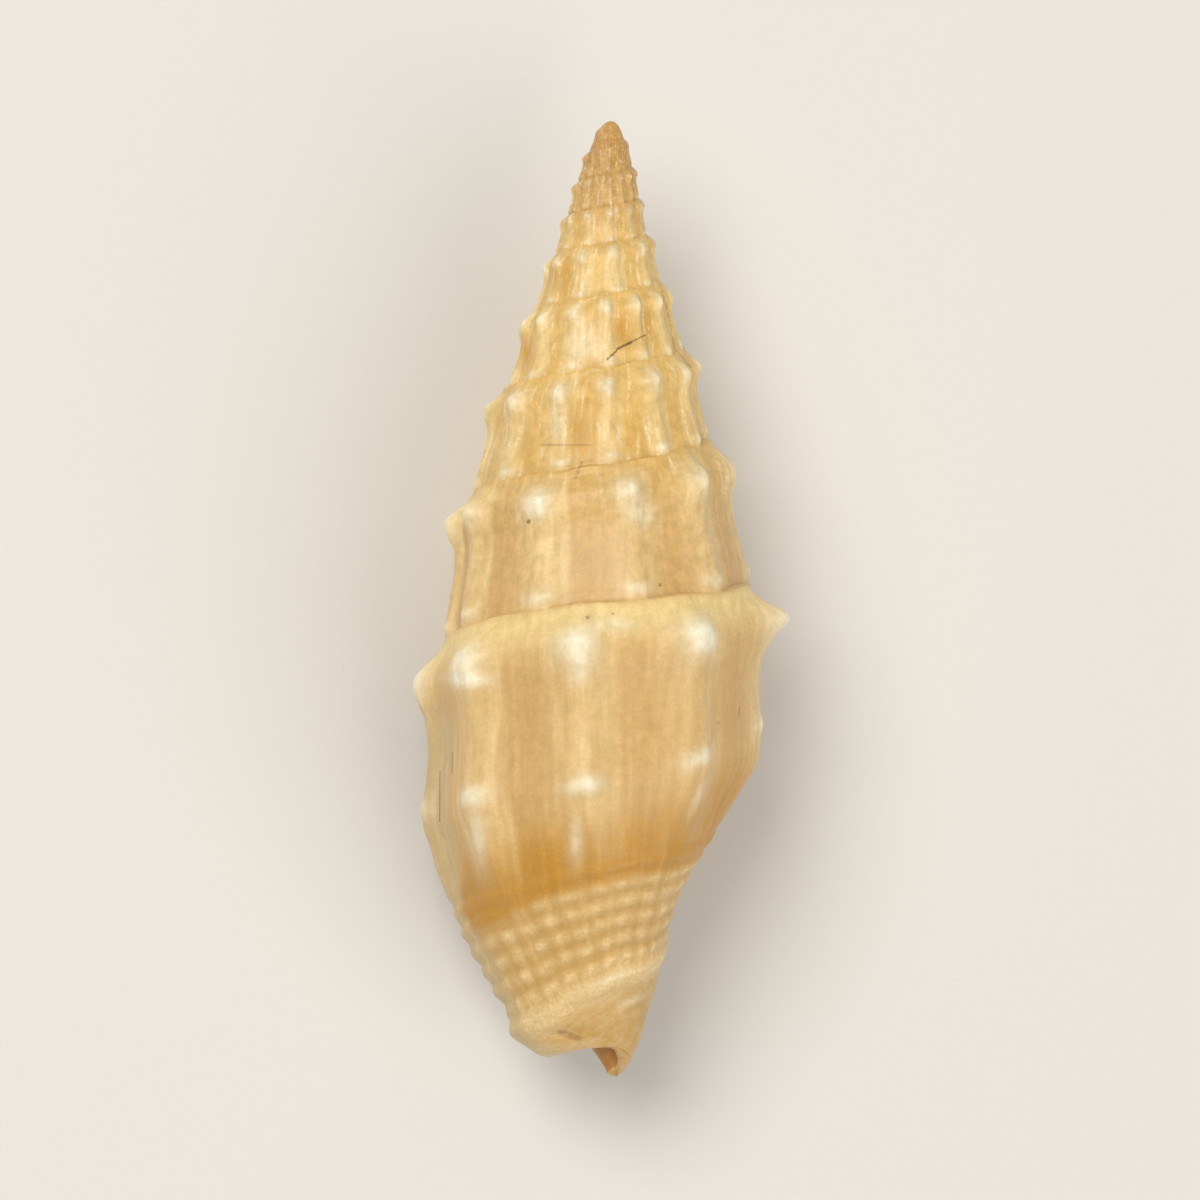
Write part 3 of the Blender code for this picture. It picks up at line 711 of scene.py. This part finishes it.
# Strength, x, y, half width, half height, tilt in degrees.
STAINS = (
    (0.9, 0.60, -5.50, 0.42, 0.60, 0.0), (0.8, 1.25, -5.45, 0.20, 0.62, 0.0),
    (0.8, -1.00, -4.10, 0.45, 0.65, 0.0), (0.9, -1.90, -6.05, 0.28, 0.75, 8.0),
    (1.0, -0.50, -8.10, 0.50, 1.10, 0.0), (0.5, -1.95, -8.60, 0.22, 1.00, 0.0),
    (0.4, 0.95, -8.20, 0.35, 0.90, 0.0), (0.4, -0.90, -9.10, 0.35, 0.50, 0.0),
)
# Pale spots added to the nodules' white: some are whitish patches of the shell, others are painted
# highlights and glints on nodules, ribs and the canal.
PALE_SPOTS_AND_HIGHLIGHTS = (
    (0.9, -3.40, -14.60, 0.75, 0.24, -3.0), (0.5, -0.50, -14.35, 0.30, 0.55, 0.0),
    (0.7, 2.85, -13.60, 0.30, 0.40, 0.0), (0.5, -0.40, -5.85, 0.55, 0.60, 0.0),
    (0.45, -1.10, -7.95, 0.30, 0.60, 0.0), (0.6, -1.63, -10.20, 0.45, 0.35, 0.0),
    (0.5, 1.10, -10.30, 0.55, 0.45, 0.0), (0.4, 0.40, -13.15, 0.90, 0.30, 0.0),
    (0.5, 0.85, -23.00, 0.60, 0.12, 25.0), (0.4, 0.30, -22.40, 0.80, 0.14, 20.0),
    (0.6, -3.14, -18.70, 0.28, 1.10, 5.0), (0.5, -0.60, -18.75, 0.26, 0.85, 0.0),
    (0.4, 2.55, -17.70, 0.20, 0.80, -25.0),
)

# Fine lines on the back: strength, half width, then the points that it passes.
HAIRLINES = (
    (0.75, 0.026, (0.22, -6.27), (0.50, -5.98)), (0.85, 0.034, (0.50, -5.98), (0.85, -5.80)),
    (0.70, 0.022, (0.85, -5.80), (1.20, -5.62)),
    (0.40, 0.016, (1.63, -4.47), (1.80, -5.02), (1.96, -5.94), (2.40, -6.46)),
    (0.28, 0.030, (-1.50, -8.49), (-0.20, -8.50)),
    (0.70, 0.014, (-4.15, -17.00), (-4.16, -18.30)),
    (0.60, 0.014, (-3.82, -16.50), (-3.83, -17.05)),
    (0.55, 0.012, (3.66, -15.33), (3.64, -15.55)),
    (0.30, 0.040, (-0.45, -8.95), (-0.62, -9.35)), (0.35, 0.080, (-1.00, -23.80), (-0.55, -23.95)),
)
SPECKS = (
    (0.70, 0.055, -1.83, -10.49), (0.60, 0.045, 1.58, -12.13), (0.50, 0.035, 0.36, -12.88),
    (0.50, 0.050, -0.30, -12.98), (0.45, 0.030, 3.10, -15.72),
)


def tone(red, green, blue):
    """A colour given in screen values from 0 to 255."""
    linear = [((c / 255 + 0.055) / 1.055) ** 2.4 for c in (red, green, blue)]
    return (*linear, 1.0)


CREST = tone(237, 209, 154)
CREST_SPIRE = tone(241, 216, 160)
BETWEEN = tone(218, 179, 120)
BETWEEN_SPIRE = tone(234, 196, 122)
# whitish: the nodules' own tips and the crackle's flecks, and painted highlights on nodules and pale
# spots
CHALK_AND_HIGHLIGHT = tone(255, 250, 230)
AMBER = tone(198, 142, 36)
STAIN = tone(210, 158, 56)
RAMP = tone(254, 232, 168)
GROOVE = tone(210, 170, 104)
CORD = tone(246, 219, 168)
LIP_GREY = tone(210, 186, 140)
TIP = tone(186, 134, 74)
LINE = tone(116, 82, 36)
MOUTH = tone(206, 160, 92)
CANAL = tone(184, 120, 44)
FLOOR = tone(226, 224, 220)


class Finish:
    """A material, with short calls for its nodes."""

    def __init__(self, name):
        self.material = bpy.data.materials.new(name)
        self.material.use_nodes = True
        self.tree = self.material.node_tree
        self.surface = self.tree.nodes["Principled BSDF"]

    def node(self, kind, *inputs, **settings):
        """A node with its settings and its first inputs, each a socket, a value or None."""
        node = self.tree.nodes.new("ShaderNode" + kind)
        for key, value in settings.items():
            setattr(node, key, value)
        for socket, source in zip(node.inputs, inputs):
            if isinstance(source, bpy.types.NodeSocket):
                self.tree.links.new(source, socket)
            elif source is not None:
                socket.default_value = source
        return node

    def attribute(self, name):
        return self.node("Attribute", attribute_name=name).outputs["Fac"]

    def standing(self):
        return self.node("Attribute", attribute_name="standing").outputs["Vector"]

    def math(self, operation, *values, clamp=False):
        return self.node("Math", *values, operation=operation, use_clamp=clamp).outputs[0]

    def vector(self, operation, *values, output=0):
        return self.node("VectorMath", *values, operation=operation).outputs[output]

    def range(self, value, low, high, to_low=0.0, to_high=1.0):
        node = self.node("MapRange", value, low, high, to_low, to_high, interpolation_type="SMOOTHSTEP")
        return node.outputs[0]

    def mix(self, factor, low, high, blend="MIX"):
        node = self.node("Mix", data_type="RGBA", blend_type=blend)
        for socket, source in ((node.inputs[0], factor), (node.inputs[6], low), (node.inputs[7], high)):
            if isinstance(source, bpy.types.NodeSocket):
                self.tree.links.new(source, socket)
            else:
                socket.default_value = source
        return node.outputs[2]

    def number_mix(self, factor, low, high):
        return self.math("ADD", low, self.math("MULTIPLY", factor, self.math("SUBTRACT", high, low)))

    def noise(self, vector, scale, detail=3.0, roughness=0.55):
        node = self.node("TexNoise", vector)
        node.inputs["Scale"].default_value = scale
        node.inputs["Detail"].default_value = detail
        node.inputs["Roughness"].default_value = roughness
        return node.outputs[0]

    def grain(self, across, along):
        """Noise drawn out along the ribs or around the whorls, by its bends per turn and per height."""
        x = self.math("MULTIPLY", self.attribute("turn"), across)
        y = self.math("MULTIPLY", self.attribute("share"), along)
        vector = self.node("CombineXYZ", x, y, 0.0).outputs[0]
        return self.noise(vector, 1.0, 2.0)

    def shade(self, colour, amount, low, high):
        """The colour made lighter, or darker and warmer, by an amount from 0 to 1."""
        red, green, blue = SHADE_TINT
        dark, light = (low * red, low * green, low * blue, 1.0), (high, high, high, 1.0)
        return self.mix(1.0, colour, self.mix(self.range(amount, *SHADE_NOISE), dark, light), "MULTIPLY")

    def line(self, where, start, end, half_width):
        """1 on a short straight line seen from the back, 0 away from it."""
        start, end = Vector((*start, 0.0)), Vector((*end, 0.0))
        run = end - start
        from_start = self.vector("SUBTRACT", where, start)
        along = self.vector("DOT_PRODUCT", from_start, run / run.length_squared, output=1)
        along = self.math("ADD", along, 0.0, clamp=True)
        reach = self.node("VectorMath", run, operation="SCALE")
        self.tree.links.new(along, reach.inputs["Scale"])
        gap = self.vector("LENGTH", self.vector("SUBTRACT", from_start, reach.outputs[0]), output=1)
        return self.range(gap, LINE_EDGE[0] * half_width, LINE_EDGE[1] * half_width, 1.0, 0.0)

    def speck(self, where, x, y, radius):
        """1 in a small round speck seen from the back, 0 away from it."""
        gap = self.vector("DISTANCE", where, (x, y, 0.0), output=1)
        return self.range(gap, SPECK_EDGE[0] * radius, SPECK_EDGE[1] * radius, 1.0, 0.0)


# The finish. A range gives the low and high end of a noise or of the depth, then what each becomes.
CLOUD_SCALE, SPOT_SCALE = 3.2, 11.0                 # bends per millimetre
CLOUD_DETAIL, SPOT_DETAIL = 4.0, 3.0
STREAK_GRAIN, GROWTH_GRAIN, STRIA_GRAIN = (90.0, 2.2), (520.0, 3.0), (14.0, 42.0)
BODY_DEPTHS = (7.5, 11.5)                           # from the spire's tones to the last whorls'
RIB_STREAKS = (0.25, 0.75, 0.7, 1.0)
RAMP_TONE = 0.7
CORD_SPOTS = (0.35, 0.65, 0.75, 1.0)
BAND_CLOUDS = (0.3, 0.7, 0.8, 1.0)
STAIN_CLOUDS = (0.35, 0.6, 0.6, 1.0)
EDGE_TONE = 0.8
NODULE_CLOUDS = (0.3, 0.6, 0.85, 1.0)
TIP_DEPTHS, TIP_SPOTS = (0.6, 4.0, 0.8, 0.0), (0.3, 0.6, 1.0, 0.7)
FLECK_STREAKS, FLECK_SPOTS, FLECK_DEPTHS = (0.54, 0.72), (0.4, 0.6, 0.1, 0.5), (8.5, 11.0, 1.0, 0.1)
WORN_CLOUDS = (0.4, 0.62, 0.0, 0.5)
MOUTH_TONE, CANAL_TONE_DEPTHS = 0.75, (22.5, 24.0)
NOISE_MIDDLE = 0.5
MOTTLE_DEPTHS = (10.0, 14.0, 1.0, 0.45)
SHADE_NOISE = (0.3, 0.7)
SHADE_TINT = (1.0, 0.98, 0.92)                      # of the dark places
MOTTLE_SHADE, SPOT_SHADE, DRAWN_SHADE = (0.88, 1.05), (0.965, 1.02), (0.94, 1.03)
SWAY_SPOTS, SWAY_REACH = (0.2, 0.8, -0.04, 0.04), (1.5, 3.0, 1.0, 0.0)
LINE_BACK = (0.0, 0.5)
LINE_EDGE, SPECK_EDGE = (0.5, 1.5), (0.6, 1.4)
ROUGHNESS_CLOUDS = (0.3, 0.7, 0.36, 0.50)
GROWTH_BUMP, STRIA_BUMP, SPOT_BUMP = 0.5, 0.35, 0.5
BUMP_STRENGTH, BUMP_DISTANCE = 0.35, 0.02
SHELL_SHADER = {
    "Subsurface Weight": 0.15,
    "Subsurface Radius": (1.0, 0.75, 0.45),
    "Subsurface Scale": 0.3 * MM,
    "Coat Weight": 0.1,
    "Coat Roughness": 0.25,
    "Specular IOR Level": 0.35,
}


def base_colour(finish, depth, clouds, spots, streaks):
    """The shell's tones, from the ribs and the base to the worn foot, with painted highlights in the
    white of its nodules and pale spots.
    """
    on_body = finish.range(depth, *BODY_DEPTHS)
    crest = finish.mix(on_body, CREST_SPIRE, CREST)
    between_ribs = finish.mix(on_body, BETWEEN_SPIRE, BETWEEN)
    rib = finish.math("MULTIPLY", finish.attribute("rib"), finish.range(streaks, *RIB_STREAKS))
    colour = finish.mix(rib, between_ribs, crest)
    colour = finish.mix(finish.math("MULTIPLY", finish.attribute("ramp"), RAMP_TONE), colour, RAMP)
    cord = finish.math("MULTIPLY", finish.attribute("cord"), finish.range(spots, *CORD_SPOTS))
    colour = finish.mix(finish.attribute("base"), colour, finish.mix(cord, GROOVE, CORD))
    band = finish.math("MULTIPLY", finish.attribute("band"), finish.range(clouds, *BAND_CLOUDS))
    colour = finish.mix(band, colour, AMBER)
    stain = finish.math("MULTIPLY", finish.attribute("stain"), finish.range(clouds, *STAIN_CLOUDS))
    colour = finish.mix(stain, colour, STAIN)
    colour = finish.mix(finish.math("MULTIPLY", finish.attribute("edge"), EDGE_TONE), colour, LIP_GREY)
    # whitish nodule tips and pale spots, partly painted highlights
    nodule = finish.math("MULTIPLY", finish.attribute("nodule"), finish.range(clouds, *NODULE_CLOUDS))
    colour = finish.mix(nodule, colour, CHALK_AND_HIGHLIGHT)
    tip = finish.math("MULTIPLY", finish.range(depth, *TIP_DEPTHS), finish.range(spots, *TIP_SPOTS))
    colour = finish.mix(tip, colour, TIP)
    fleck = finish.range(streaks, *FLECK_STREAKS)
    fleck = finish.math("MULTIPLY", fleck, finish.range(spots, *FLECK_SPOTS))
    fleck = finish.math("MULTIPLY", fleck, finish.range(depth, *FLECK_DEPTHS))
    colour = finish.mix(fleck, colour, CHALK_AND_HIGHLIGHT)
    worn = finish.math("MULTIPLY", finish.attribute("foot"), finish.range(clouds, *WORN_CLOUDS))
    return finish.mix(worn, colour, LIP_GREY)


def fine_cracks(finish, colour, standing, spots):
    """The colour with the hairlines and specks of the back drawn on it."""
    across, _, height = finish.node("SeparateXYZ", standing).outputs
    sway = finish.math("MULTIPLY", finish.range(spots, *SWAY_SPOTS),
                       finish.range(finish.math("ABSOLUTE", across), *SWAY_REACH))
    flat = finish.vector("MULTIPLY", standing, (1.0, 1.0, 0.0))
    flat = finish.vector("ADD", flat, finish.node("CombineXYZ", sway, 0.0, 0.0).outputs[0])
    dark = 0.0
    for strength, half_width, *route in HAIRLINES:
        for start, end in zip(route, route[1:]):
            line = finish.line(flat, start, end, half_width)
            dark = finish.math("MAXIMUM", dark, finish.math("MULTIPLY", line, strength))
    for strength, radius, x, y in SPECKS:
        speck = finish.speck(flat, x, y, radius)
        dark = finish.math("MAXIMUM", dark, finish.math("MULTIPLY", speck, strength))
    return finish.mix(finish.math("MULTIPLY", dark, finish.range(height, *LINE_BACK)), colour, LINE)


def shell_finish(name, inside):
    finish = Finish(name)
    standing = finish.standing()
    depth = finish.math("MULTIPLY", finish.node("SeparateXYZ", standing).outputs[1], -1.0)
    clouds = finish.noise(standing, CLOUD_SCALE, CLOUD_DETAIL)
    spots = finish.noise(standing, SPOT_SCALE, SPOT_DETAIL)
    streaks = finish.grain(*STREAK_GRAIN)
    growth = finish.grain(*GROWTH_GRAIN)
    striae = finish.grain(*STRIA_GRAIN)

    colour = base_colour(finish, depth, clouds, spots, streaks)
    if inside:
        lining = finish.mix(finish.range(depth, *CANAL_TONE_DEPTHS), MOUTH, CANAL)
        colour = finish.mix(MOUTH_TONE, colour, lining)
    mottled = finish.number_mix(finish.range(depth, *MOTTLE_DEPTHS), NOISE_MIDDLE, clouds)
    drawn = finish.number_mix(finish.attribute("foot"), streaks, striae)
    for amount, span in ((mottled, MOTTLE_SHADE), (spots, SPOT_SHADE), (drawn, DRAWN_SHADE)):
        colour = finish.shade(colour, amount, *span)
    if not inside:
        colour = fine_cracks(finish, colour, standing, spots)
    finish.tree.links.new(colour, finish.surface.inputs["Base Color"])
    finish.tree.links.new(finish.range(clouds, *ROUGHNESS_CLOUDS), finish.surface.inputs["Roughness"])

    height = finish.math("MULTIPLY", growth, GROWTH_BUMP)
    height = finish.math("ADD", height, finish.math("MULTIPLY", striae, STRIA_BUMP))
    height = finish.math("ADD", height, finish.math("MULTIPLY", spots, SPOT_BUMP))
    relief = finish.node("Bump")
    relief.inputs["Strength"].default_value = BUMP_STRENGTH
    relief.inputs["Distance"].default_value = BUMP_DISTANCE * MM
    finish.tree.links.new(height, relief.inputs["Height"])
    finish.tree.links.new(relief.outputs[0], finish.surface.inputs["Normal"])
    for socket, value in SHELL_SHADER.items():
        finish.surface.inputs[socket].default_value = value
    return finish.material


def lay_down(shell):
    """Turn the standing shell as it lies, fit it to the solid's box, and wear its lowest spots flat."""
    turned = np.array(Euler((TIP_DOWN, ROLL, 0.0)).to_matrix())
    points = np.empty(len(shell.data.vertices) * 3)
    shell.data.vertices.foreach_get("co", points)
    points = points.reshape(-1, 3) @ turned.T * MM
    low, high = np.array(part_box("shell"))
    shift = (low + high) / 2 - (points.min(axis=0) + points.max(axis=0)) / 2
    shift[2] = high[2] - points[:, 2].max()
    points += shift
    points[:, 2] = np.maximum(points[:, 2], 0.0)
    shell.data.vertices.foreach_set("co", points.ravel())
    shell.data.update()
    return Matrix.Translation(shift) @ Matrix(turned.tolist()).to_4x4()


def make_shell():
    shell = hollowed_shell()
    mark(shell.data)
    laid = lay_down(shell)
    shell.data.shade_smooth()
    shell.data.set_sharp_from_angle(angle=SHARP_ANGLE)
    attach(shell, "root")
    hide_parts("shell")
    return laid


# The setting, in metres and watts.
FLOOR_SIZE, FLOOR_ROUGHNESS = 3.0, 0.7
LIGHT_COLOUR = (1.0, 0.965, 0.90)
LIGHT_TARGET = (0.0, 0.0, 0.004)
LIGHTS = (                              # name, place, width, power
    ("key_light", (-0.14, 0.12, 0.30), 0.22, 0.74),
    ("fill_light", (0.18, -0.20, 0.24), 0.35, 0.52),
)
STUDIO_COLOUR, STUDIO_STRENGTH = (1.0, 0.99, 0.97, 1.0), 0.41


def make_floor():
    bpy.ops.mesh.primitive_plane_add(size=FLOOR_SIZE, location=(0, 0, 0))
    floor = bpy.context.object
    floor.name = "floor"
    finish = Finish("floor_pale")
    finish.surface.inputs["Base Color"].default_value = FLOOR
    finish.surface.inputs["Roughness"].default_value = FLOOR_ROUGHNESS
    floor.data.materials.append(finish.material)


def make_light(name, at, size, power):
    light = bpy.data.lights.new(name, "AREA")
    light.color = LIGHT_COLOUR
    light.shape = "DISK"
    light.size = size
    light.energy = power
    item = bpy.data.objects.new(name, light)
    item.location = at
    item.rotation_euler = (Vector(LIGHT_TARGET) - Vector(at)).to_track_quat("-Z", "Y").to_euler()
    bpy.context.scene.collection.objects.link(item)


def make_lights():
    for row in LIGHTS:
        make_light(*row)
    world = bpy.data.worlds.new("studio")
    bpy.context.scene.world = world
    world.use_nodes = True
    background = world.node_tree.nodes["Background"]
    background.inputs["Color"].default_value = STUDIO_COLOUR
    background.inputs["Strength"].default_value = STUDIO_STRENGTH


# The photograph's frame around the standing shell.
PHOTO_WIDTH = 1200
PHOTO_AXIS, PHOTO_TIP = 599, 121        # pixels of the shell's axis and tip
SHELL_PIXELS = 956
CAMERA_DISTANCE, CLIP_START = 0.5, 0.005
SENSOR = 36.0


def make_camera(laid):
    """Look straight at the shell's back from far away, as the photograph does."""
    pixel = SHELL_LENGTH / SHELL_PIXELS * MM
    across, down = PHOTO_WIDTH / 2 - PHOTO_AXIS, PHOTO_WIDTH / 2 - PHOTO_TIP
    middle = Vector((across * pixel, -down * pixel, 0.0))
    data = bpy.data.cameras.new("camera")
    data.sensor_width = SENSOR
    data.lens = SENSOR * CAMERA_DISTANCE / (PHOTO_WIDTH * pixel)
    data.clip_start = CLIP_START
    camera = bpy.data.objects.new("camera", data)
    camera.matrix_world = laid @ Matrix.Translation(middle + Vector((0, 0, CAMERA_DISTANCE)))
    bpy.context.scene.collection.objects.link(camera)
    bpy.context.scene.camera = camera


make_camera(make_shell())
make_floor()
make_lights()
bpy.context.scene.view_settings.view_transform = "Standard"
